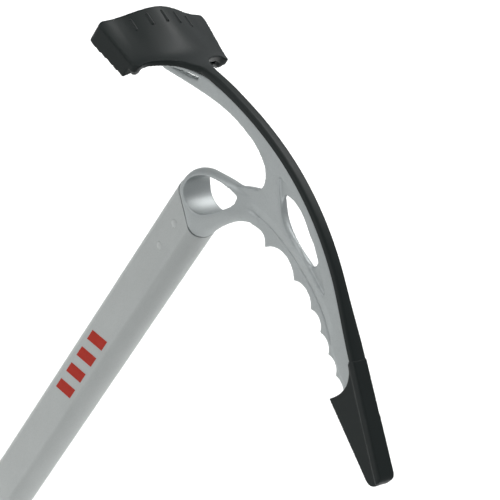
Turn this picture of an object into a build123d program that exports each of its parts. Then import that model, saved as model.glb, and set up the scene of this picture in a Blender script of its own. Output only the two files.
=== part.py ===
from build123d import *
import math
import os

# Ice axe with an oval aluminium shaft, a machined aluminium head and a rubber head protector.
# Millimetres.  +Z runs up the shaft to the head, +X points to the pick, +Y is normal to the head.
# The origin is on the shaft axis, level with the karabiner hole.

# ---- shaft -------------------------------------------------------------------------------------
shaft_width = 29.0  # across the oval, along X
shaft_depth = 20.0  # flat to flat, along Y
shaft_flat = 17.6  # width of each flat face
shaft_wall = 1.6
shaft_bottom = -436.0  # height of the bevelled end on the shaft axis
bevel_slope = 0.75  # fall of the bevelled end for each millimetre towards the pick
seam_height = -9.0  # height of the seam between head and tube on the shaft axis
seam_slope = 0.52  # fall of the seam for each millimetre towards the pick
seam_gap = 0.05

# ---- tang, bond and rivets ---------------------------------------------------------------------
tang_end = -54.0
bond_thickness = 0.4
bond_gap = 0.02  # air left on each side of the bond line
rivet_radius = 2.25
rivet_heights = (-20.3, -38.5)
rivet_gap = 0.05
rivet_dome = 0.25
plug_length = 22.0
plug_lip = 2.0
plug_gap = 0.05

# ---- head: spine and pick ----------------------------------------------------------------------
crown_x = 24.0
crown_z = 58.8
spine_rear_radius = 205.0
spine_front_radius = 150.0
pick_slope = 0.55  # fall of the straight part of the spine for each millimetre forwards
rib_half = 2.7  # half thickness of the ribs
tooth_half = 1.7  # half thickness of the tooth zone
web_half = 1.2  # half thickness of the floor of the pocket
strut_half = 2.1
pick_tip = (174.0, -6.8)
rim_radius = 1.3  # rounding of the rim of the karabiner hole

# ---- head: adze --------------------------------------------------------------------------------
adze_top = 41.0  # height of the top of the blade on the middle line
adze_thickness = 2.4
adze_arch_radius = 72.0
adze_edge_x = -88.0
neck_drop = 0.4  # depth of the blade below the top of the spine where they join
web_drop = 1.0  # depth of the strut below the top of the blade
adze_half_width = 30.0

# ---- protector ---------------------------------------------------------------------------------
strap_height = 3.6
strap_half = 3.1
strap_round = 1.1
strap_rear_x = -34.0
strap_front_x = 126.5
rubber_gap = 0.15  # air between rubber and metal
joint_gap = 0.3  # air between the strap and the two end covers
guard_sheet = 4.6
guard_lift = 0.6  # air over the blade, more than neck_drop
guard_lip = 2.4
guard_wall = 3.2  # rubber beyond the edge of the blade
guard_side = 6.2  # rubber beside the widest part of the blade
guard_corner = 2.4
guard_lip_width = 10.5
guard_lip_start = -61.5
sheath_wall = 1.4
band_rear_half = 4.5  # half width of the top band where the sheath starts
band_front_half = 5.4  # half width of the top band at the tip
sheath_outline = [(134.0, 10.0), (133.4, 5.0), (131.0, -1.4), (173.5, -10.9)]


def rear_arc(x, lift=0.0):
    """Point of the rear spine arc at x, lifted outwards by lift."""
    radius = spine_rear_radius + lift
    return (x, crown_z - spine_rear_radius + math.sqrt(radius**2 - (x - crown_x) ** 2))


def front_arc(x, lift=0.0):
    """Point of the front spine arc at x, lifted outwards by lift."""
    radius = spine_front_radius + lift
    return (x, crown_z - spine_front_radius + math.sqrt(radius**2 - (x - crown_x) ** 2))


pick_angle = math.atan(pick_slope)
slide = (math.cos(pick_angle), -math.sin(pick_angle))
bend_x = crown_x + spine_front_radius * math.sin(pick_angle)
bend_z = crown_z - spine_front_radius * (1 - math.cos(pick_angle))


def spine_line(x, lift=0.0):
    """Point over the straight spine at x, lifted at right angles by lift."""
    return (x, bend_z - pick_slope * (x - bend_x) + lift / math.cos(pick_angle))


def oval(width, depth, flat):
    """Two flats of length flat joined by half ellipses."""
    end = (width - flat) / 2
    with BuildSketch() as shape:
        with BuildLine():
            Line((-flat / 2, depth / 2), (flat / 2, depth / 2))
            EllipticalCenterArc((flat / 2, 0), end, depth / 2, start_angle=-90, arc_size=180)
            Line((flat / 2, -depth / 2), (-flat / 2, -depth / 2))
            EllipticalCenterArc((-flat / 2, 0), end, depth / 2, start_angle=90, arc_size=180)
        make_face()
    return shape.sketch


def section_plane(left, right):
    """Plane square to XZ whose local x runs from left to right."""
    across = (right[0] - left[0], 0, right[1] - left[1])
    middle = ((left[0] + right[0]) / 2, 0, (left[1] + right[1]) / 2)
    return Plane(origin=middle, x_dir=across, z_dir=(-across[2], 0, across[0]))


seam_plane = Plane(origin=(0, 0, seam_height), z_dir=(seam_slope, 0, 1))
bevel_plane = Plane(origin=(0, 0, shaft_bottom), z_dir=(bevel_slope, 0, 1))
inner_width = shaft_width - 2 * shaft_wall
inner_depth = shaft_depth - 2 * shaft_wall

# ---- shaft -------------------------------------------------------------------------------------
with BuildPart() as shaft:
    with BuildSketch(Plane.XY.offset(shaft_bottom - 20)):
        add(oval(shaft_width, shaft_depth, shaft_flat))
    extrude(amount=-shaft_bottom + 40)
    with BuildSketch(Plane.XY.offset(shaft_bottom - 20)):
        add(oval(inner_width, inner_depth, shaft_flat))
    extrude(amount=-shaft_bottom + 40, mode=Mode.SUBTRACT)
    split(bisect_by=seam_plane, keep=Keep.BOTTOM)
    split(bisect_by=bevel_plane, keep=Keep.TOP)
    for rivet_z in rivet_heights:
        with Locations(Location((0, 0, rivet_z), (90, 0, 0))):
            Cylinder(rivet_radius + rivet_gap, shaft_depth + 2, mode=Mode.SUBTRACT)

# ---- bond line between tang and tube -----------------------------------------------------------
bond_width = inner_width - 2 * bond_gap
bond_depth = inner_depth - 2 * bond_gap
tang_width = inner_width - 2 * (bond_thickness + 2 * bond_gap)
tang_depth = inner_depth - 2 * (bond_thickness + 2 * bond_gap)
with BuildPart() as tang_adhesive:
    with BuildSketch(Plane.XY.offset(tang_end + 1)):
        add(oval(bond_width, bond_depth, shaft_flat))
        oval_core = 2 * bond_thickness
        add(oval(bond_width - oval_core, bond_depth - oval_core, shaft_flat), mode=Mode.SUBTRACT)
    extrude(amount=-tang_end + 10)
    split(bisect_by=seam_plane.offset(-0.5), keep=Keep.BOTTOM)
    for rivet_z in rivet_heights:
        with Locations(Location((0, 0, rivet_z), (90, 0, 0))):
            Cylinder(rivet_radius + rivet_gap, shaft_depth + 2, mode=Mode.SUBTRACT)

# ---- rivets ------------------------------------------------------------------------------------
dome_radius = (rivet_radius**2 + rivet_dome**2) / (2 * rivet_dome)
pin_half = shaft_depth / 2
pin_end = pin_half + rivet_dome
dome_mid = pin_half + rivet_dome - dome_radius + math.sqrt(dome_radius**2 - rivet_radius**2 / 4)
with BuildPart() as rivet_pin:
    with BuildSketch(Plane.XY):
        with BuildLine():
            Line((0, -pin_end), (0, pin_end))
            ThreePointArc((0, pin_end), (rivet_radius / 2, dome_mid), (rivet_radius, pin_half))
            Line((rivet_radius, pin_half), (rivet_radius, -pin_half))
            ThreePointArc((rivet_radius, -pin_half), (rivet_radius / 2, -dome_mid), (0, -pin_end))
        make_face()
    revolve(axis=Axis.Y)
with BuildPart() as rivet_upper:
    with Locations((0, 0, rivet_heights[0])):
        add(rivet_pin.part)
with BuildPart() as rivet_lower:
    with Locations((0, 0, rivet_heights[1])):
        add(rivet_pin.part)

# ---- end plug ----------------------------------------------------------------------------------
with BuildPart() as end_plug:
    with BuildSketch(Plane.XY.offset(shaft_bottom - 40)):
        add(oval(inner_width - 2 * plug_gap, inner_depth - 2 * plug_gap, shaft_flat))
    extrude(amount=40 + plug_length)
    with BuildSketch(Plane.XY.offset(shaft_bottom - 40)):
        add(oval(shaft_width, shaft_depth, shaft_flat))
    extrude(amount=80)
    with BuildSketch(Plane.XY.offset(shaft_bottom - 40)):
        Rectangle(60, 60)
        oval_clear = 2 * plug_gap
        add(oval(inner_width - oval_clear, inner_depth - oval_clear, shaft_flat), mode=Mode.SUBTRACT)
    above = extrude(amount=100, mode=Mode.PRIVATE)
    cut_off = split(above, bisect_by=bevel_plane.offset(-plug_gap), keep=Keep.TOP, mode=Mode.PRIVATE)
    add(cut_off, mode=Mode.SUBTRACT)
    split(bisect_by=bevel_plane.offset(-plug_lip - plug_gap), keep=Keep.TOP)
    split(bisect_by=Plane.XY.offset(shaft_bottom + plug_length), keep=Keep.BOTTOM)
    with BuildSketch(Plane.XY.offset(shaft_bottom + plug_length)):
        add(oval(inner_width - 7, inner_depth - 7, shaft_flat - 5))
    extrude(amount=-plug_length + 12, mode=Mode.SUBTRACT)

# ---- adze blade --------------------------------------------------------------------------------
blade_plan = [(-34.0, 2.2), (-46.0, 2.8), (-52.6, 5.6), (-58.0, 13.0), (-63.0, 27.0)]
guard_plan = [
    (-36.0, strap_half), (-45.5, 5.3), (-51.0, 8.8), (-54.4, 13.5), (-57.0, 20.0), (-58.0, 26.0), (-57.4, 31.8),
]


def blade_path():
    """Middle line of the top of the blade from the neck to beyond the edge."""
    with BuildLine(Plane.XZ) as path:
        ThreePointArc(rear_arc(-26, -neck_drop), rear_arc(-32, -neck_drop), rear_arc(-38, -neck_drop))
        Spline(rear_arc(-38, -neck_drop), (-64, adze_top), tangents=[(-1, -0.3), (-1, 0)])
        Line((-64, adze_top), (adze_edge_x - 12, adze_top))
    return path.line


def arched_sheet(top, bottom):
    """Sheet along the blade between two heights above it, arched from side to side."""
    path = blade_path()
    start = Plane(origin=path @ 0, x_dir=(0, 1, 0), z_dir=path % 0)
    side = -1 if start.y_dir.Z > 0 else 1
    with BuildPart() as sheet:
        with BuildSketch(start):
            with Locations((0, side * adze_arch_radius)):
                Circle(adze_arch_radius + top)
                Circle(adze_arch_radius + bottom, mode=Mode.SUBTRACT)
            with Locations((0, 0)):
                Rectangle(84, 60, mode=Mode.INTERSECT)
        sweep(path=path)
    return sheet.part


def fan(points, edge_x, half, corner, bulge):
    """Plan of the blade: a curved flank on each side and a slightly bowed edge."""
    neck_x, neck_half = points[0]
    with BuildSketch() as plan:
        with BuildLine():
            Line((20, neck_half), points[0])
            Spline(*points, tangents=[(-1, 0), (-0.25, 1)])
            Line(points[-1], (edge_x, half))
            ThreePointArc((edge_x, half), (edge_x - bulge, 0), (edge_x, -half))
            Line((edge_x, -half), (points[-1][0], -points[-1][1]))
            Spline(*[(x, -y) for x, y in points[::-1]], tangents=[(0.25, 1), (1, 0)])
            Line((neck_x, -neck_half), (20, -neck_half))
            Line((20, -neck_half), (20, neck_half))
        make_face()
        corners = plan.vertices().filter_by(lambda v: v.X < points[-1][0] + 0.5)
        fillet(corners, corner)
    return plan.sketch


def tall(sketch):
    """Prism through the whole height of the head."""
    with BuildPart() as prism:
        add(sketch)
        extrude(amount=150, both=True)
    return prism.part


def box_between(x0, x1, half, z0, z1):
    """Box centred on the head plane."""
    with BuildPart() as block:
        with Locations(((x0 + x1) / 2, 0, (z0 + z1) / 2)):
            Box(x1 - x0, 2 * half, z1 - z0)
    return block.part


blade_sheet = arched_sheet(0.0, -adze_thickness)
blade_fan = tall(fan(blade_plan, adze_edge_x, adze_half_width, 3.0, 0.8))
with BuildPart() as adze_blade:
    add(blade_sheet)
    add(blade_fan, mode=Mode.INTERSECT)

# ---- head --------------------------------------------------------------------------------------
tooth_cusps = [
    (48.6, 16.2), (73.6, 20.2), (91.1, 18.9), (103.1, 15.4),
    (114.1, 11.9), (124.6, 8.2), (135.0, 4.6), (146.0, 1.2), (158.0, -2.6),
]
tooth_peaks = [
    (60.5, 24.7), (84.0, 23.4), (97.6, 20.2), (108.8, 16.2),
    (119.8, 12.4), (130.2, 8.3), (141.0, 4.9), (152.6, 1.4),
]
ring_sections = [
    ((-13.4, 6.5), (18.0, -5.0), 18.6),
    ((-8.2, 13.0), (22.6, 4.6), 14.6),
    ((2.7, 19.8), (27.0, 11.2), 10.4),
    ((15.5, 26.0), (31.4, 15.6), 7.0),
    ((27.0, 33.0), (38.0, 21.0), 5.0),
]
hole_points = [
    (18.2, 21.6), (12.0, 20.4), (2.0, 16.4), (-6.6, 9.6), (-9.0, 2.6), (-5.4, -3.0),
    (1.0, -4.9), (8.0, -3.0), (14.2, 4.2), (18.4, 12.0), (19.9, 18.4),
]
big_opening = [
    (25.2, 34.2), (27.5, 39.6), (24.6, 45.4), (17.0, 49.2), (4.0, 50.2), (-10.9, 48.5),
    (-30.9, 42.5), (-51.6, 33.8), (-62.0, 29.2),
]
step_line = [
    (112.0, 18.0), (99.2, 24.1), (84.2, 27.8), (66.0, 29.1), (44.2, 27.3), (34.2, 24.4), (24.0, 21.5),
]
slot_points = [
    (41.2, 47.6), (48.3, 49.5), (58.3, 48.0), (68.3, 44.5), (78.3, 39.9), (78.2, 36.8),
    (67.0, 35.2), (56.7, 35.8), (47.0, 38.6), (42.4, 43.0),
]
pocket_points = [
    (33.6, 52.4), (45.0, 52.4), (58.0, 50.3), (70.0, 46.0), (84.0, 38.6), (93.0, 32.4),
    (79.0, 33.4), (62.0, 34.0), (50.0, 36.9), (40.0, 43.8),
]
rib_window = [
    (-41.9, 44.0), (-44.0, 42.2), (-47.8, 40.0), (-52.2, 37.6), (-56.8, 35.3), (-61.5, 33.2), (-65.2, 33.4),
    (-66.2, 35.8), (-64.0, 38.0), (-58.0, 39.9), (-52.0, 42.0), (-47.0, 44.0), (-43.6, 45.2),
]


half_plan = [(-90, strut_half), (-15, strut_half), (30, rib_half), (120, rib_half), (182, 0.9)]


def spine_edges():
    """Top edge from the adze neck to the tip."""
    ThreePointArc(rear_arc(-34), rear_arc(-8), (crown_x, crown_z))
    ThreePointArc((crown_x, crown_z), front_arc((crown_x + bend_x) / 2), (bend_x, bend_z))
    Line((bend_x, bend_z), spine_line(165))
    Spline(spine_line(165), pick_tip, tangents=[(1, -pick_slope), (0.45, -1)])


def adze_edges():
    """Rear part of the outline, under the blade and back along the strut."""
    web_top = adze_top - web_drop
    Spline(rear_arc(-34), (-62, web_top), tangents=[(-1, -0.28), (-1, 0)])
    Line((-62, web_top), (-82, web_top))
    Spline((-82, web_top), (-76, 29.6), (-69, 27.4), big_opening[-1])
    Spline(*big_opening[::-1])
    Spline(big_opening[0], (20, 30.0), (14, 24.0))


with BuildPart() as head:
    # ribs, strut and spine
    with BuildSketch(Plane.XZ):
        with BuildLine():
            spine_edges()
            Spline(pick_tip, (150, 2.6), step_line[0], tangents=[(-1, 0.2), (-1, 0.46)])
            Spline(*step_line, tangents=[(-1, 0.46), (-1, -0.2)])
            Line(step_line[-1], (14, 24))
            adze_edges()
        make_face()
    extrude(amount=6, both=True)
    with BuildSketch(Plane.XY):
        with BuildLine():
            Polyline(*half_plan, *[(x, -y) for x, y in half_plan[::-1]], close=True)
        make_face()
    extrude(amount=120, both=True, mode=Mode.INTERSECT)
    # tooth zone
    with BuildSketch(Plane.XZ):
        with BuildLine():
            Polyline((26, 12), (26, 26), (60, 32), (100, 27), spine_line(118, -2))
            Polyline(spine_line(118, -2), spine_line(160, -2), pick_tip)
            Line(pick_tip, tooth_cusps[-1])
            for i in range(len(tooth_peaks)):
                ThreePointArc(tooth_cusps[i], tooth_peaks[i], tooth_cusps[i + 1])
            Spline(tooth_cusps[0], (42.0, 20.3), (34.0, 17.4), (26, 12), tangents=[(-0.7, 1), (-0.6, -1)])
        make_face()
    extrude(amount=tooth_half, both=True)
    # pocket and slot in the pick
    for side in (1, -1):
        with BuildSketch(Plane.XZ.offset(side * web_half)):
            with BuildLine():
                Spline(*pocket_points, periodic=True)
            make_face()
        extrude(amount=side * 6, mode=Mode.SUBTRACT)
    with BuildSketch(Plane.XZ):
        with BuildLine():
            Spline(*slot_points, periodic=True)
        make_face()
    extrude(amount=8, both=True, mode=Mode.SUBTRACT)
    # window between strut and blade
    with BuildSketch(Plane.XZ):
        with BuildLine():
            Spline(*rib_window, periodic=True)
        make_face()
    extrude(amount=8, both=True, mode=Mode.SUBTRACT)
    # ring: ovals that lean over and thin out from the seam to the pick
    seam_rise = seam_slope * shaft_width / 2
    seam_left = (-shaft_width / 2, seam_height + seam_gap + seam_rise)
    seam_right = (shaft_width / 2, seam_height + seam_gap - seam_rise)
    for left, right, depth in [(seam_left, seam_right, shaft_depth)] + ring_sections:
        width = math.dist(left, right)
        with BuildSketch(section_plane(left, right)):
            add(oval(width, depth, shaft_flat * width / math.hypot(shaft_width, 2 * seam_rise)))
    loft()
    # karabiner hole with a rounded rim
    with BuildSketch(Plane.XZ):
        with BuildLine():
            Spline(*hole_points, periodic=True)
        make_face()
    extrude(amount=20, both=True, mode=Mode.SUBTRACT)
    # tang
    with BuildSketch(Plane.XY.offset(tang_end)):
        add(oval(tang_width, tang_depth, shaft_flat))
    tang = extrude(amount=-tang_end + 20, mode=Mode.PRIVATE)
    add(split(tang, bisect_by=seam_plane.offset(0.5), keep=Keep.BOTTOM, mode=Mode.PRIVATE))
    for rivet_z in rivet_heights:
        with Locations(Location((0, 0, rivet_z), (90, 0, 0))):
            Cylinder(rivet_radius + rivet_gap, shaft_depth + 2, mode=Mode.SUBTRACT)

    # adze blade, and a rounded rim on the karabiner hole
    add(adze_blade.part)
    hole_wall = faces().sort_by_distance((hole_points[4][0], 0, hole_points[4][1]))[0]
    fillet(hole_wall.edges().filter_by(GeomType.LINE, reverse=True), rim_radius)

# ---- adze guard --------------------------------------------------------------------------------
guard_half = adze_half_width + guard_side
guard_fan = tall(fan(guard_plan, adze_edge_x - guard_wall, guard_half, guard_corner, 1.2))
lip_bottom = -adze_thickness - rubber_gap - guard_lip
top_sheet = arched_sheet(guard_sheet, guard_lift)
rim_sheet = arched_sheet(guard_lift + 0.2, lip_bottom)
pocket_sheet = arched_sheet(guard_lift, -adze_thickness - rubber_gap)
clearing_sheet = arched_sheet(guard_lift, lip_bottom - 6)
with BuildPart() as guard_rim:
    add(rim_sheet)
    add(box_between(-120, guard_lip_start, 50, 0, 80), mode=Mode.INTERSECT)
with BuildPart() as blade_pocket:
    add(pocket_sheet)
    add(box_between(adze_edge_x - 1.2, 0, adze_half_width + rubber_gap, 0, 80), mode=Mode.INTERSECT)
with BuildPart() as guard_clearing:
    add(clearing_sheet)
    add(box_between(adze_edge_x + 3.6, 0, guard_half - guard_lip_width, 0, 80), mode=Mode.INTERSECT)
with BuildPart() as adze_guard:
    add(top_sheet)
    add(box_between(-120, strap_rear_x - joint_gap, 50, 0, 80), mode=Mode.INTERSECT)
    add(guard_rim.part)
    add(guard_fan, mode=Mode.INTERSECT)
    add(blade_pocket.part, mode=Mode.SUBTRACT)
    add(guard_clearing.part, mode=Mode.SUBTRACT)

# ---- spine strap -------------------------------------------------------------------------------


def strip_outline(low, high, front):
    """Closed outline of a strip along the spine between two heights above it."""
    middle = (crown_x + bend_x) / 2
    ThreePointArc(rear_arc(strap_rear_x, low), rear_arc(-6, low), (crown_x, crown_z + low))
    ThreePointArc((crown_x, crown_z + low), front_arc(middle, low), spine_line(bend_x + slide[1] * -low, low))
    Line(spine_line(bend_x - slide[1] * low, low), spine_line(front, low))
    Line(spine_line(front, low), spine_line(front - slide[1] * (high - low), high))
    Line(spine_line(front - slide[1] * (high - low), high), spine_line(bend_x - slide[1] * high, high))
    bend_top = spine_line(bend_x - slide[1] * high, high)
    ThreePointArc(bend_top, front_arc(middle, high), (crown_x, crown_z + high))
    ThreePointArc((crown_x, crown_z + high), rear_arc(-6, high), rear_arc(strap_rear_x, high))
    Line(rear_arc(strap_rear_x, high), rear_arc(strap_rear_x, low))


def height_over_spine(point):
    """Distance of a point from the top of the spine, measured at right angles to it."""
    if point.X < crown_x:
        return math.hypot(point.X - crown_x, point.Z - crown_z + spine_rear_radius) - spine_rear_radius
    if point.X < bend_x:
        return math.hypot(point.X - crown_x, point.Z - crown_z + spine_front_radius) - spine_front_radius
    return (point.Z - spine_line(point.X)[1]) * math.cos(pick_angle)


with BuildPart() as spine_strap:
    with BuildSketch(Plane.XZ):
        with BuildLine():
            strip_outline(rubber_gap, strap_height, strap_front_x)
        make_face()
    extrude(amount=strap_half, both=True)
    long_edges = edges().filter_by(lambda edge: abs((edge @ 0.5).Y) > strap_half - 0.01)
    fillet(long_edges.filter_by(lambda edge: height_over_spine(edge @ 0.5) > strap_height - 0.1), strap_round)

# ---- pick sheath -------------------------------------------------------------------------------
sheath_rear = strap_front_x + joint_gap
tip_corner = spine_line(178.6, strap_height)
sheath_top_rear = spine_line(sheath_rear - slide[1] * (strap_height + 1.5), strap_height)
band_top_rear = spine_line(sheath_rear - slide[1] * (strap_height + 0.4), strap_height)
with BuildPart() as pick_sheath:
    with BuildSketch(Plane.XZ):
        with BuildLine():
            Line(spine_line(sheath_rear, -1.5), sheath_top_rear)
            Line(sheath_top_rear, tip_corner)
            Spline(tip_corner, (180.3, -4.8), (179.2, -9.0), sheath_outline[-1])
            Line(sheath_outline[-1], sheath_outline[-2])
            Spline(*sheath_outline[2::-1], spine_line(sheath_rear, -1.5))
        make_face()
    extrude(amount=rib_half + 0.2 + sheath_wall, both=True)
    with BuildSketch(Plane.XZ):
        with BuildLine():
            Line(spine_line(sheath_rear, -0.4), band_top_rear)
            Line(band_top_rear, tip_corner)
            Spline(tip_corner, (180.3, -4.8), (179.6, -6.2))
            Line((179.6, -6.2), spine_line(sheath_rear, -0.4))
        make_face()
    band = extrude(amount=12, both=True, mode=Mode.PRIVATE)
    with BuildSketch(Plane.XY):
        Polygon(
            (sheath_rear - 1, band_rear_half), (181, band_front_half),
            (181, -band_front_half), (sheath_rear - 1, -band_rear_half), align=None,
        )
    taper = extrude(amount=60, both=True, mode=Mode.PRIVATE)
    add(band & taper)
    with BuildSketch(Plane.XZ):
        with BuildLine():
            Polyline(
                spine_line(105, rubber_gap), spine_line(173, rubber_gap), (175.6, -6.6),
                (174.4, -8.6), (131.0, 1.1), (105.0, 6.9), close=True,
            )
        make_face()
    extrude(amount=rib_half + 0.2, both=True, mode=Mode.SUBTRACT)

# ---- export ------------------------------------------------------------------------------------
os.makedirs("parts", exist_ok=True)
head.part.label = "head"
export_step(head.part, "parts/head.step")
shaft.part.label = "shaft"
export_step(shaft.part, "parts/shaft.step")
tang_adhesive.part.label = "tang_adhesive"
export_step(tang_adhesive.part, "parts/tang_adhesive.step")
rivet_upper.part.label = "rivet_upper"
export_step(rivet_upper.part, "parts/rivet_upper.step")
rivet_lower.part.label = "rivet_lower"
export_step(rivet_lower.part, "parts/rivet_lower.step")
end_plug.part.label = "end_plug"
export_step(end_plug.part, "parts/end_plug.step")
adze_guard.part.label = "adze_guard"
export_step(adze_guard.part, "parts/adze_guard.step")
spine_strap.part.label = "spine_strap"
export_step(spine_strap.part, "parts/spine_strap.step")
pick_sheath.part.label = "pick_sheath"
export_step(pick_sheath.part, "parts/pick_sheath.step")
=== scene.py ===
import logging
import math
from dataclasses import dataclass
from enum import Enum
from typing import Any, Iterable

import bmesh
import bpy
import numpy as np
from mathutils import Matrix, Vector


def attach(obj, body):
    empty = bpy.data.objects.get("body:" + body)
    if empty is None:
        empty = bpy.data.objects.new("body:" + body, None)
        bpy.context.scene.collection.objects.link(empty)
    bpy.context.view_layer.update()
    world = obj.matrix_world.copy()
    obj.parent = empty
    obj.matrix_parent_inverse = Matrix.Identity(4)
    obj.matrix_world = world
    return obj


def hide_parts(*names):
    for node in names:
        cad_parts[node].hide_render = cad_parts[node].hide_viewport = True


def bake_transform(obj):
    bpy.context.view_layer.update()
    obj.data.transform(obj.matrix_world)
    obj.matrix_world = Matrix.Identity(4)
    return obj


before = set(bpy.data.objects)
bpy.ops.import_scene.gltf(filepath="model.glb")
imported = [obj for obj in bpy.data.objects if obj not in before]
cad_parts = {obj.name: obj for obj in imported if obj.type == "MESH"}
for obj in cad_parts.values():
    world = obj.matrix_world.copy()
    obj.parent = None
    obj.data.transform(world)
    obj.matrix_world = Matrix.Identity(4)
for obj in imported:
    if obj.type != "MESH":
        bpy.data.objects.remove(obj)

log = logging.getLogger("ice_axe")
MM = 0.001
SHARP_ANGLE = math.radians(50)
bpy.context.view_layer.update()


class Slot(Enum):
    """Finish slots of the record."""

    HEAD = "head_alloy"
    SHAFT = "shaft_alloy"
    RUBBER = "protector_rubber"
    PLUG = "plug_plastic"


class Body(Enum):
    """Bodies that move apart."""

    AXE = "axe"
    ADZE_COVER = "adze_cover"
    PICK_COVER = "pick_cover"


# ---- colour and node helpers -----------------------------------------------------------------


def linear(code: str) -> tuple[float, float, float, float]:
    """Turns an sRGB hex colour into linear light.

    Args:
        code: six hex digits, such as "9AA0A1".

    Returns:
        Linear red, green, blue and an alpha of one.
    """
    parts = [int(code[i : i + 2], 16) / 255 for i in (0, 2, 4)]
    red, green, blue = [c / 12.92 if c <= 0.04045 else ((c + 0.055) / 1.055) ** 2.4 for c in parts]
    return (red, green, blue, 1.0)


def add_node(tree: bpy.types.NodeTree, kind: str, settings: dict[str, Any] | None = None,
             values: dict[str, Any] | None = None, links: dict[str, Any] | None = None) -> bpy.types.Node:
    """Adds one shader node.

    Args:
        tree: the node tree that gets it.
        kind: the node's type name.
        settings: attributes to set on the node.
        values: default values by input name or number.
        links: output sockets to join to inputs, by input name or number.

    Returns:
        The new node.
    """
    node = tree.nodes.new(kind)
    for name, value in (settings or {}).items():
        setattr(node, name, value)
    for name, value in (values or {}).items():
        node.inputs[name].default_value = value
    for name, socket in (links or {}).items():
        tree.links.new(socket, node.inputs[name])
    return node


@dataclass(frozen=True)
class Finish:
    """A surface finish made of a body colour, a slow colour drift and a fine bump.

    The fields are real sizes in millimetres and plain shader values.
    """

    name: str
    colour: str
    drift_colour: str
    metallic: float
    roughness: float
    roughness_swing: float = 0.06
    drift_size_mm: float = 30.0
    grain_size_mm: float = 0.5
    grain_height_mm: float = 0.02
    stretch: tuple[float, float, float] = (1.0, 1.0, 1.0)
    edge_round_mm: float = 0.0
    specular: float = 0.5
    grain_low: float = 0.3
    grain_high: float = 0.7
    round_samples: int = 6

    def noise(self, tree: bpy.types.NodeTree, size_mm: float, detail: float,
              roughness: float) -> bpy.types.Node:
        """Adds a noise on Object coordinates.

        Args:
            tree: the node tree that gets it.
            size_mm: size of one cell of the noise.
            detail: number of finer layers.
            roughness: share of each finer layer.

        Returns:
            The noise node.
        """
        place = add_node(tree, "ShaderNodeTexCoord").outputs["Object"]
        sized = add_node(tree, "ShaderNodeMapping", values={"Scale": self.scale(size_mm)},
                         links={"Vector": place})
        return add_node(tree, "ShaderNodeTexNoise",
                        values={"Scale": 1.0, "Detail": detail, "Roughness": roughness},
                        links={"Vector": sized.outputs[0]})

    def build(self) -> bpy.types.Material:
        """Builds the node material on Object coordinates.

        Returns:
            The material.
        """
        material = bpy.data.materials.new(self.name)
        material.use_nodes = True
        tree = material.node_tree
        tree.nodes.clear()
        drift = self.noise(tree, self.drift_size_mm, detail=4.0, roughness=0.55)
        grain = self.noise(tree, self.grain_size_mm, detail=2.0, roughness=0.6)
        colour = add_node(tree, "ShaderNodeMix", {"data_type": "RGBA"},
                          values={6: linear(self.colour), 7: linear(self.drift_colour)},
                          links={0: drift.outputs["Fac"]})
        rough = add_node(tree, "ShaderNodeMapRange",
                         values={"From Min": self.grain_low, "From Max": self.grain_high,
                                 "To Min": self.roughness - self.roughness_swing,
                                 "To Max": self.roughness + self.roughness_swing},
                         links={"Value": grain.outputs["Fac"]})
        bump = add_node(tree, "ShaderNodeBump",
                        values={"Strength": 1.0, "Distance": self.grain_height_mm * MM},
                        links={"Height": grain.outputs["Fac"]})
        if self.edge_round_mm > 0:
            edge = add_node(tree, "ShaderNodeBevel", {"samples": self.round_samples},
                            values={"Radius": self.edge_round_mm * MM})
            tree.links.new(edge.outputs["Normal"], bump.inputs["Normal"])
        shader = add_node(tree, "ShaderNodeBsdfPrincipled",
                          values={"Metallic": self.metallic, "Specular IOR Level": self.specular},
                          links={"Base Color": colour.outputs[2], "Roughness": rough.outputs["Result"],
                                 "Normal": bump.outputs["Normal"]})
        add_node(tree, "ShaderNodeOutputMaterial", links={"Surface": shader.outputs["BSDF"]})
        return material

    def scale(self, size_mm: float) -> tuple[float, float, float]:
        """Gives the Mapping scale that makes one noise cell size_mm across, stretched along stretch."""
        return tuple(1.0 / (size_mm * MM * part) for part in self.stretch)


# Aluminium, forged, milled and then fine-blasted: an even satin grey with a soft sparkle.
HEAD_ALLOY = Finish("forged_aluminium_blasted", "BEC2C2", "B3B7B7", 1.0, 0.54, 0.08, 26.0, 0.6, 0.022)
# Aluminium tube, drawn and satin anodised: fine draw lines run along the shaft.
SHAFT_ALLOY = Finish("drawn_aluminium_anodised", "B8BBBA", "ADB0AF", 1.0, 0.40, 0.10, 16.0, 0.6, 0.022,
                     stretch=(1.0, 1.0, 1.8), edge_round_mm=0.5)
# Aluminium rivet, ground flush with the tube.
RIVET_ALLOY = Finish("flush_rivet_aluminium", "C4C6C5", "B9BCBB", 1.0, 0.45, 0.06, 3.0, 0.4, 0.01)
# Moulded rubber: nearly black with a cool green cast, soft wide highlights and a very fine texture.
PROTECTOR_RUBBER = Finish("moulded_rubber", "0F1615", "151D1C", 0.0, 0.40, 0.05, 18.0, 0.6, 0.012,
                          specular=0.26)
# Glass-filled nylon, moulded black.
PLUG_NYLON = Finish("moulded_nylon", "1A1C1C", "212424", 0.0, 0.55, 0.06, 9.0, 0.6, 0.02)
# Two-part epoxy, cured to a dull amber.
CURED_EPOXY = Finish("cured_epoxy", "A8977A", "9C8B6E", 0.0, 0.5, 0.05, 4.0, 0.5, 0.02)
# Screen-printed red ink on the anodised tube.
PRINTED_INK = Finish("screen_printed_ink", "B4260F", "A3200C", 0.0, 0.5, 0.06, 6.0, 0.5, 0.012, specular=0.2)
# Matt painted studio floor.
STUDIO_PAPER = Finish("studio_paper", "F6F6F5", "F2F2F1", 0.0, 0.9, 0.02, 400.0, 3.0, 0.01)


# ---- mesh helpers ------------------------------------------------------------------------------


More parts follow.
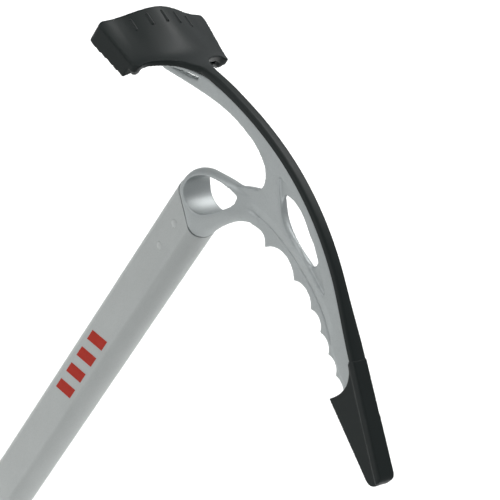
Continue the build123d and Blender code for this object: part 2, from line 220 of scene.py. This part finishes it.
def mesh_object(name: str, points: np.ndarray, faces: Iterable[tuple[int, ...]],
                material: bpy.types.Material, smooth: bool = True) -> bpy.types.Object:
    """Makes an object at the origin from points in metres.

    Args:
        name: the piece's name.
        points: an N by 3 array.
        faces: tuples of point numbers, anticlockwise from outside.
        material: its finish.
        smooth: whether faces are shaded smooth.

    Returns:
        The linked object.
    """
    mesh = bpy.data.meshes.new(name)
    mesh.from_pydata(points.tolist(), [], [tuple(int(i) for i in f) for f in faces])
    mesh.materials.append(material)
    mesh.polygons.foreach_set("use_smooth", np.full(len(mesh.polygons), smooth))
    mesh.update()
    piece = bpy.data.objects.new(name, mesh)
    bpy.context.scene.collection.objects.link(piece)
    outward(piece)
    if smooth:
        mesh.set_sharp_from_angle(angle=SHARP_ANGLE)
    return piece


def outward(piece: bpy.types.Object) -> None:
    """Turns every face of a closed mesh outwards.

    Args:
        piece: the object, which is changed.
    """
    form = bmesh.new()
    form.from_mesh(piece.data)
    bmesh.ops.recalc_face_normals(form, faces=form.faces)
    form.to_mesh(piece.data)
    form.free()


def tube_faces(rings: int, sides: int) -> list[tuple[int, ...]]:
    """Quads of a closed-profile sweep with an n-gon cap at each end.

    Args:
        rings: number of profiles along the path.
        sides: points in each profile.

    Returns:
        Faces that number the points ring by ring.
    """
    ring, side = np.meshgrid(np.arange(rings - 1), np.arange(sides), indexing="ij")
    after = (side + 1) % sides
    quads = np.stack([ring * sides + side, ring * sides + after,
                      (ring + 1) * sides + after, (ring + 1) * sides + side], axis=-1).reshape(-1, 4)
    caps = [tuple(range(sides))[::-1], tuple(range((rings - 1) * sides, rings * sides))]
    return [tuple(q) for q in quads] + caps


def smoothstep(value: np.ndarray, low: float, high: float) -> np.ndarray:
    """Eases from 0 at low to 1 at high: t squared times (3 minus 2 t), t clamped to 0..1.

    Args:
        value: where it is read.
        low: where it leaves 0.
        high: where it reaches 1.

    Returns:
        The eased values.
    """
    t = np.clip((value - low) / (high - low), 0.0, 1.0)
    return t * t * (3.0 - 2.0 * t)


def rounded_rectangle(half: float, low: float, high: float, top: float, bottom: float,
                      arc: int) -> np.ndarray:
    """Closed rounded rectangle, as four quarter circles joined by straight sides.

    Args:
        half: half width.
        low: lower height.
        high: upper height.
        top: radius of the two upper corners.
        bottom: radius of the two lower corners.
        arc: points in each corner.

    Returns:
        A 4*arc by 2 array, anticlockwise.
    """
    turn = np.linspace(0.0, np.pi / 2, arc)
    corners = [(half - top, high - top, top, 0.0), (-half + top, high - top, top, np.pi / 2),
               (-half + bottom, low + bottom, bottom, np.pi),
               (half - bottom, low + bottom, bottom, 1.5 * np.pi)]
    return np.concatenate([np.stack([cx + r * np.cos(turn + a), cy + r * np.sin(turn + a)], axis=1)
                           for cx, cy, r, a in corners])


# ---- spine of the head -------------------------------------------------------------------------


@dataclass(frozen=True)
class Spine:
    """Top line of the head: a rear arc, a front arc that meets it level at the crown, and a straight pick."""

    crown_x: float = 24.0
    crown_z: float = 58.8
    rear_radius: float = 205.0
    front_radius: float = 150.0
    slope: float = 0.55

    def at(self, x: np.ndarray) -> tuple[np.ndarray, np.ndarray]:
        """Heights and slope angles of the spine.

        On an arc the height is the crown's height less radius plus the square root of radius squared less
        distance from the crown squared; beyond the bend it is a straight fall.

        Args:
            x: places along the head in millimetres.

        Returns:
            Heights in millimetres, and the angle of the tangent below level.
        """
        angle = math.atan(self.slope)
        bend_x = self.crown_x + self.front_radius * math.sin(angle)
        bend_z = self.crown_z - self.front_radius * (1 - math.cos(angle))
        away = x - self.crown_x
        radius = np.where(away < 0, self.rear_radius, self.front_radius)
        on_arc = np.clip(away, -self.rear_radius * 0.9, bend_x - self.crown_x)
        height = self.crown_z - radius + np.sqrt(radius**2 - on_arc**2)
        height = np.where(x > bend_x, bend_z - self.slope * (x - bend_x), height)
        tilt = np.where(x > bend_x, angle, np.arcsin(on_arc / radius))
        return height, tilt


SPINE = Spine()


@dataclass
class SpineStrap:
    """The rubber strap along the spine, in two halves that meet at the crown."""

    material: bpy.types.Material
    rear_x: float = -34.6
    front_x: float = 127.2
    half: float = 3.1
    front_half: float = 4.45
    low: float = 0.15
    high: float = 3.6
    rear_high: float = 4.2
    step: float = 1.2
    widen_from: float = 92.0
    widen_to: float = 127.0
    thicken_to: float = -34.0
    thicken_from: float = -8.0
    top_round: float = 1.15
    foot_round: float = 0.3
    corner_points: int = 6

    def profile(self, x: float) -> np.ndarray:
        """Rounded section of the strap: it widens to the pick sheath and thickens to the adze guard.

        Args:
            x: place along the head in millimetres.

        Returns:
            Sideways measures and heights over the spine, one row a point.
        """
        spot = np.array([x])
        wide = smoothstep(spot, self.widen_from, self.widen_to)[0]
        thick = 1 - smoothstep(spot, self.thicken_to, self.thicken_from)[0]
        half = self.half + (self.front_half - self.half) * wide
        high = self.high + (self.rear_high - self.high) * thick
        return rounded_rectangle(half, self.low, high, self.top_round, self.foot_round, self.corner_points)

    def sweep(self, name: str, start: float, end: float) -> bpy.types.Object:
        """Carries the profile along the spine.

        Each point is the spine's point, plus the profile's sideways measure along Y, plus its height along
        the spine's normal.

        Args:
            name: the piece's name.
            start: first place along X, in millimetres.
            end: last place along X.

        Returns:
            The finished half.
        """
        x = np.linspace(start, end, max(2, int(abs(end - start) / self.step)))
        z, tilt = SPINE.at(x)
        sections = np.stack([self.profile(float(v)) for v in x])
        normal = np.stack([np.sin(tilt), np.zeros_like(tilt), np.cos(tilt)], axis=1)
        centre = np.stack([x, np.zeros_like(x), z], axis=1)
        points = (centre[:, None, :] + sections[:, :, 1:2] * normal[:, None, :]
                  + sections[:, :, 0:1] * np.array([0.0, 1.0, 0.0]))
        piece = mesh_object(name, points.reshape(-1, 3) * MM, tube_faces(len(x), sections.shape[1]),
                            self.material)
        return piece

    def build(self) -> list[bpy.types.Object]:
        """Builds both halves and hides the imported strap.

        Returns:
            The rear half and the front half.
        """
        rear = self.sweep("strap_rear", self.rear_x, SPINE.crown_x)
        front = self.sweep("strap_front", SPINE.crown_x, self.front_x)
        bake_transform(rear)
        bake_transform(front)
        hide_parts("spine_strap")
        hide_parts("spine_strap")
        return [rear, front]


# ---- softened solids ---------------------------------------------------------------------------

RELAX_FACTOR = 0.5  # share of the way to the neighbours' mean that a vertex moves in one pass
CRISP_WEIGHT = 0.25  # share of the relaxing that is left where the shape stays crisp


def soften(piece: bpy.types.Object, voxel_mm: float, passes: int, keep: np.ndarray | None = None) -> None:
    """Rounds every edge of a solid: it is rebuilt from even cells, whose surface is then relaxed.

    Args:
        piece: a closed mesh, which is changed.
        voxel_mm: size of a cell.
        passes: how often the surface is relaxed.
        keep: centres in metres and radii, one row each, around which the shape stays crisp.
    """
    remesh = piece.modifiers.new("cells", "REMESH")
    remesh.mode = "VOXEL"
    remesh.voxel_size = voxel_mm * MM
    bake(piece)
    relaxed = piece.modifiers.new("relax", "SMOOTH")
    relaxed.factor = RELAX_FACTOR
    relaxed.iterations = passes
    if keep is not None:
        points = vertices(piece)
        away = np.linalg.norm(points[:, None, [0, 2]] - keep[None, :, :2], axis=2)
        near = np.min(away / keep[None, :, 2], axis=1)
        weight = CRISP_WEIGHT + (1 - CRISP_WEIGHT) * smoothstep(near, 0.5, 1.0)
        group = piece.vertex_groups.new(name="relax")
        for level in np.unique(np.round(weight, 1)):
            chosen = np.flatnonzero(np.round(weight, 1) == level)
            group.add(chosen.tolist(), float(level), "REPLACE")
        relaxed.vertex_group = group.name
    bake(piece)


def bake(piece: bpy.types.Object) -> None:
    """Applies a piece's modifiers to its mesh.

    Args:
        piece: the object, which is changed.
    """
    bpy.context.view_layer.update()
    shape = piece.evaluated_get(bpy.context.evaluated_depsgraph_get())
    mesh = bpy.data.meshes.new_from_object(shape)
    piece.modifiers.clear()
    piece.data = mesh
    mesh.polygons.foreach_set("use_smooth", np.full(len(mesh.polygons), True))


def vertices(piece: bpy.types.Object) -> np.ndarray:
    """Reads the vertices of a piece.

    Args:
        piece: the object.

    Returns:
        An N by 3 array in metres.
    """
    flat = np.empty(len(piece.data.vertices) * 3)
    piece.data.vertices.foreach_get("co", flat)
    return flat.reshape(-1, 3)


def move_vertices(piece: bpy.types.Object, points: np.ndarray) -> None:
    """Puts changed vertices back into the mesh of a piece."""
    piece.data.vertices.foreach_set("co", points.ravel())
    piece.data.update()


def merged_copy(node: str, name: str, material: bpy.types.Material) -> bpy.types.Object:
    """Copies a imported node's mesh, with its loose triangles joined up.

    Args:
        node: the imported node's name.
        name: the new piece's name.
        material: its finish.

    Returns:
        The linked copy.
    """
    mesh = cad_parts[node].data.copy()
    mesh.materials.clear()
    mesh.materials.append(material)
    piece = bpy.data.objects.new(name, mesh)
    bpy.context.scene.collection.objects.link(piece)
    form = bmesh.new()
    form.from_mesh(mesh)
    bmesh.ops.remove_doubles(form, verts=form.verts, dist=1e-6)
    form.to_mesh(mesh)
    form.free()
    return piece


def distance_above(points: np.ndarray, line: np.ndarray) -> np.ndarray:
    """Signed distance of points from a polyline in the XZ plane, positive above it.

    It is the least distance to any of the line's runs, with the sign of the height over the line.

    Args:
        points: an N by 2 array of x and z.
        line: an M by 2 array of x and z, with x rising.

    Returns:
        N distances.
    """
    start, run = line[:-1], line[1:] - line[:-1]
    away = points[:, None, :] - start[None]
    share = np.clip((away * run).sum(axis=2) / (run**2).sum(axis=1), 0.0, 1.0)
    gap = np.linalg.norm(away - share[..., None] * run, axis=2).min(axis=1)
    return gap * np.sign(points[:, 1] - np.interp(points[:, 0], line[:, 0], line[:, 1]))


@dataclass
class ForgedHead:
    """The head as it comes from the tumbler: edges broken, and the rib falling away towards the teeth."""

    material: bpy.types.Material
    voxel_mm: float = 0.62
    passes: int = 4
    cusps: tuple[tuple[float, float], ...] = (
        (48.6, 16.2), (73.6, 20.2), (91.1, 18.9), (103.1, 15.4), (114.1, 11.9), (124.6, 8.2))
    rib_foot: tuple[tuple[float, float], ...] = (
        (24.0, 21.5), (34.2, 24.4), (44.2, 27.3), (66.0, 29.1), (84.2, 27.8), (99.2, 24.1), (112.0, 18.0))
    slope_width: float = 5.0
    slope_drop: float = 0.95
    slope_above: float = -0.6
    slope_start: tuple[float, float] = (25.0, 31.0)
    slope_end: tuple[float, float] = (108.0, 116.0)
    face_depth: tuple[float, float] = (1.75, 2.2)
    cusp_radius: float = 4.0

    def build(self) -> bpy.types.Object:
        """Builds the softened head and cuts the slope along the foot of the rib.

        Each side face sinks by slope_drop at the foot of the rib and by less above it, in a straight line
        over slope_width, eased in and out at the two ends of the rib.

        Returns:
            The finished head.
        """
        piece = merged_copy("head", "head_forged", self.material)
        keep = np.array([(x, z, self.cusp_radius) for x, z in self.cusps]) * MM
        soften(piece, self.voxel_mm, self.passes, keep)
        points = vertices(piece)
        line = np.array(self.rib_foot) * MM
        above = distance_above(points[:, [0, 2]], line) / MM
        share = np.clip(1.0 - above / self.slope_width, 0.0, 1.0) * (above > self.slope_above)
        x, y = points[:, 0] / MM, points[:, 1] / MM
        inside = smoothstep(x, *self.slope_start) * (1 - smoothstep(x, *self.slope_end))
        face = smoothstep(np.abs(y), *self.face_depth)
        points[:, 1] -= np.sign(points[:, 1]) * self.slope_drop * MM * share * inside * face
        move_vertices(piece, points)
        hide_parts("head")
        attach(piece, Body.AXE.value)
        return piece


@dataclass
class AdzeGuard:
    """The rubber guard over the adze: a saddle with rounded edges, raised along the middle."""

    material: bpy.types.Material
    voxel_mm: float = 0.6
    passes: int = 6
    crown_rise: float = 1.9
    flank_dip: float = 1.1
    corner_rise: float = 1.4
    crown_width: float = 10.0
    flank_place: float = 22.0
    flank_width: float = 6.5
    corner_start: float = 26.0
    corner_end: float = 36.0
    rise_start: float = 52.0
    rise_end: float = 90.0
    skin_low: float = -0.5
    skin_high: float = 3.0
    blade_top: float = 41.0
    arch_radius: float = 72.0
    arch_reach: float = 40.0
    lump_place: tuple[float, float, float] = (-59.6, 28.6, 35.4)
    lump_radii: tuple[float, float, float] = (2.0, 2.6, 3.6)

    def lift(self, y: np.ndarray) -> np.ndarray:
        """Height added across the guard, in millimetres.

        A bell of crown_rise about the middle, less a bell of flank_dip on each flank, plus corner_rise
        eased in towards the two sides.

        Args:
            y: places across the guard in millimetres.

        Returns:
            The heights.
        """
        side = np.abs(y)
        crown = self.crown_rise * np.exp(-((y / self.crown_width) ** 2))
        flank = self.flank_dip * np.exp(-(((side - self.flank_place) / self.flank_width) ** 2))
        return crown - flank + self.corner_rise * smoothstep(side, self.corner_start, self.corner_end)

    def build(self) -> bpy.types.Object:
        """Builds the guard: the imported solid, a lump at each channel end, rounded edges, then the saddle.

        Returns:
            The finished guard.
        """
        piece = merged_copy("adze_guard", "adze_guard_rubber", self.material)
        form = bmesh.new()
        form.from_mesh(piece.data)
        for side in (-1, 1):
            x, y, z = self.lump_place
            stretch = Matrix.Diagonal((*self.lump_radii, 1.0))
            place = Matrix.Translation(Vector((x, side * y, z)) * MM) @ stretch
            bmesh.ops.create_uvsphere(form, u_segments=24, v_segments=16, radius=MM, matrix=place)
        form.to_mesh(piece.data)
        form.free()
        soften(piece, self.voxel_mm, self.passes)
        points = vertices(piece)
        x, y, z = (points / MM).T
        across = np.clip(y, -self.arch_reach, self.arch_reach)
        under = self.blade_top - self.arch_radius + np.sqrt(self.arch_radius**2 - across**2)
        over = smoothstep(z - under, self.skin_low, self.skin_high)
        points[:, 2] += self.lift(y) * smoothstep(-x, self.rise_start, self.rise_end) * over * MM
        move_vertices(piece, points)
        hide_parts("adze_guard")
        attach(piece, Body.ADZE_COVER.value)
        return piece


@dataclass
class PickSheath:
    """The rubber sheath over the pick's point."""

    material: bpy.types.Material
    voxel_mm: float = 0.45
    passes: int = 4

    def build(self) -> bpy.types.Object:
        """Builds the sheath with its edges rounded.

        Returns:
            The finished sheath.
        """
        piece = merged_copy("pick_sheath", "pick_sheath_rubber", self.material)
        soften(piece, self.voxel_mm, self.passes)
        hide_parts("pick_sheath")
        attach(piece, Body.PICK_COVER.value)
        return piece


@dataclass
class GuardRibs:
    """Short raised ribs that give grip on the adze guard."""

    guard: AdzeGuard
    places: tuple[tuple[float, float], ...] = (
        (-84.0, -19.0), (-84.6, -9.5), (-84.8, 0.0), (-84.6, 9.5), (-84.0, 19.0))
    half_length: float = 3.4
    radius: float = 1.0
    crest: float = 76.6
    top_z: float = 45.6
    sink: float = 0.35
    flatten: float = 0.9
    stations: int = 25
    sides: int = 16

    def surface(self, y: np.ndarray) -> np.ndarray:
        """Height of the guard's top.

        Its middle height less crest, plus the root of crest squared less y squared, plus the saddle's lift.

        Args:
            y: places across the guard in millimetres.

        Returns:
            The heights.
        """
        return self.top_z - self.crest + np.sqrt(self.crest**2 - y**2) + self.guard.lift(y)

    def build(self) -> list[bpy.types.Object]:
        """Builds each rib as a capsule half sunk in the guard.

        A capsule is a circle whose radius follows a half circle at each end of a straight line.

        Returns:
            The ribs.
        """
        made = []
        reach = np.linspace(-1.0, 1.0, self.stations) * (self.half_length + self.radius)
        past = np.clip(np.abs(reach) - self.half_length, 0.0, self.radius)
        girth = np.sqrt(np.maximum(self.radius**2 - past**2, 1e-6))[:, None]
        around = np.linspace(0.0, 2 * np.pi, self.sides, endpoint=False)[None, :]
        for number, (x, y) in enumerate(self.places, 1):
            across = y + girth * np.cos(around)
            along = np.broadcast_to(x - reach[:, None], across.shape)
            height = self.surface(across) - self.sink + self.flatten * girth * np.sin(around)
            points = np.stack([along, across, height], axis=-1).reshape(-1, 3) * MM
            rib = mesh_object(f"guard_rib_{number}", points, tube_faces(self.stations, self.sides),
                              self.guard.material)
            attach(rib, Body.ADZE_COVER.value)
            made.append(rib)
        return made


@dataclass
class ShaftMarks:
    """Printed slanted bars on the flat side of the shaft."""

    material: bpy.types.Material
    centres: tuple[float, ...] = (-121.0, -136.0, -151.0, -166.0)
    half_width: float = 6.4
    half_height: float = 4.0
    lean: float = 2.6
    face: float = 10.0
    thickness: float = 0.06
    sink: float = 0.05

    def build(self) -> list[bpy.types.Object]:
        """Builds each bar as a thin slanted block on the flat face.

        Returns:
            The bars.
        """
        made = []
        wide, high, lean = self.half_width, self.half_height, self.lean
        flat = np.array([(-wide, -high - lean), (wide, -high + lean),
                         (wide, high + lean), (-wide, high - lean)])
        faces = [(0, 1, 2, 3), (7, 6, 5, 4), (0, 4, 5, 1), (1, 5, 6, 2), (2, 6, 7, 3), (3, 7, 4, 0)]
        for number, z in enumerate(self.centres, 1):
            outer = np.stack([flat[:, 0], np.full(4, -self.face - self.thickness), z + flat[:, 1]], axis=1)
            inner = outer + np.array([0.0, self.thickness + self.sink, 0.0])
            points = np.concatenate([outer, inner]) * MM
            bar = mesh_object(f"shaft_mark_{number}", points, faces, self.material, False)
            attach(bar, Body.AXE.value)
            made.append(bar)
        return made


@dataclass(frozen=True)
class Lamp:
    """A soft square light: places and side in metres, power in watts, full beam angle in degrees."""

    name: str
    place: tuple[float, float, float]
    target: tuple[float, float, float]
    size: float
    power: float
    spread: float

    def build(self) -> None:
        """Adds the light, turned to its target."""
        lamp = bpy.data.lights.new(self.name, "AREA")
        lamp.size = self.size
        lamp.energy = self.power
        lamp.spread = math.radians(self.spread)
        holder = bpy.data.objects.new(self.name, lamp)
        turn = (Vector(self.target) - Vector(self.place)).to_track_quat("-Z", "Y")
        holder.matrix_world = Matrix.Translation(self.place) @ turn.to_matrix().to_4x4()
        bpy.context.scene.collection.objects.link(holder)


LAMPS = (
    Lamp("back", (-0.62, 1.05, 0.75), (-0.32, 0.56, -0.46), size=1.0, power=5.0, spread=70.0),
    Lamp("front", (-0.75, -1.0, 0.6), (-0.38, -0.6, -0.46), size=0.8, power=3.5, spread=150.0),
    Lamp("side", (0.85, -0.95, 0.2), (0.0, 0.0, -0.12), size=0.7, power=1.2, spread=120.0),
    Lamp("top", (-0.35, 0.1, 1.3), (0.0, 0.0, 0.05), size=0.5, power=1.2, spread=120.0),
)


@dataclass
class Studio:
    """Plain pale floor, soft lights and the camera: angles in degrees, sizes in millimetres."""

    azimuth: float = 31.94
    elevation: float = 38.81
    roll: float = 35.24
    focal_length: float = 137.707
    sensor_width: float = 36.0
    distance: float = 994.6
    aim_right: float = 23.292
    aim_down: float = 28.066
    clip_start_m: float = 0.01
    clip_end_m: float = 50.0
    floor_z: float = -460.0
    floor_half_m: float = 6.0
    air_colour: str = "F2F5F7"
    air_strength: float = 0.5

    def camera(self) -> None:
        """Sets the camera from the viewing direction, the roll and where it aims beside the origin."""
        az, el, roll = (math.radians(v) for v in (self.azimuth, self.elevation, self.roll))
        back = Vector((math.sin(az) * math.cos(el), -math.cos(az) * math.cos(el), math.sin(el)))
        right = Vector((math.cos(az), math.sin(az), 0.0))
        up = back.cross(right)
        across = math.cos(roll) * right + math.sin(roll) * up
        upward = -math.sin(roll) * right + math.cos(roll) * up
        place = self.distance * back + self.aim_right * across - self.aim_down * upward
        lens = bpy.data.cameras.new("camera")
        lens.sensor_width = self.sensor_width
        lens.lens = self.focal_length
        lens.clip_start = self.clip_start_m
        lens.clip_end = self.clip_end_m
        camera = bpy.data.objects.new("camera", lens)
        turn = Matrix((across, upward, back)).transposed()
        camera.matrix_world = Matrix.Translation(place * MM) @ turn.to_4x4()
        bpy.context.scene.collection.objects.link(camera)
        bpy.context.scene.camera = camera

    def build(self) -> None:
        """Builds the floor, the world light, the lamps and the camera."""
        half, ground = self.floor_half_m, self.floor_z * MM
        corners = np.array([(-half, -half, ground), (half, -half, ground), (half, half, ground),
                            (-half, half, ground)])
        floor = mesh_object("studio_floor", corners, [(0, 1, 2, 3)], STUDIO_PAPER.build(), False)
        if floor.data.polygons[0].normal.z < 0:
            floor.data.flip_normals()
        world = bpy.data.worlds.new("studio_air")
        bpy.context.scene.world = world
        world.use_nodes = True
        air = world.node_tree.nodes["Background"]
        air.inputs["Color"].default_value = linear(self.air_colour)
        air.inputs["Strength"].default_value = self.air_strength
        for lamp in LAMPS:
            lamp.build()
        bpy.context.scene.view_settings.view_transform = "Standard"
        self.camera()


def dress(node: str, finish: bpy.types.Material) -> None:
    """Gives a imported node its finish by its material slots.

    Args:
        node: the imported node's name.
        finish: its material.
    """
    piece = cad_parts[node]
    if not piece.material_slots:
        piece.data.materials.append(finish)
    for holder in piece.material_slots:
        holder.material = finish


def main() -> None:
    """Builds the axe's visible pieces and the studio in order."""
    logging.basicConfig(level=logging.INFO, format="%(name)s: %(message)s")
    rubber = PROTECTOR_RUBBER.build()
    finishes: dict[str, bpy.types.Material] = {
        "head": HEAD_ALLOY.build(),
        "shaft": SHAFT_ALLOY.build(),
        "end_plug": PLUG_NYLON.build(),
        "tang_adhesive": CURED_EPOXY.build(),
        "adze_guard": rubber,
        "spine_strap": rubber,
        "pick_sheath": rubber,
    }
    finishes["rivet_upper"] = finishes["rivet_lower"] = RIVET_ALLOY.build()
    for node, finish in finishes.items():
        dress(node, finish)
    for part in SpineStrap(rubber).build():
        log.info("built %s", part.name)
    guard = AdzeGuard(rubber)
    for maker in (ForgedHead(finishes["head"]), guard, PickSheath(rubber)):
        log.info("built %s", maker.build().name)
    for part in GuardRibs(guard).build() + ShaftMarks(PRINTED_INK.build()).build():
        log.info("built %s", part.name)
    Studio().build()


if __name__ == "__main__":
    main()
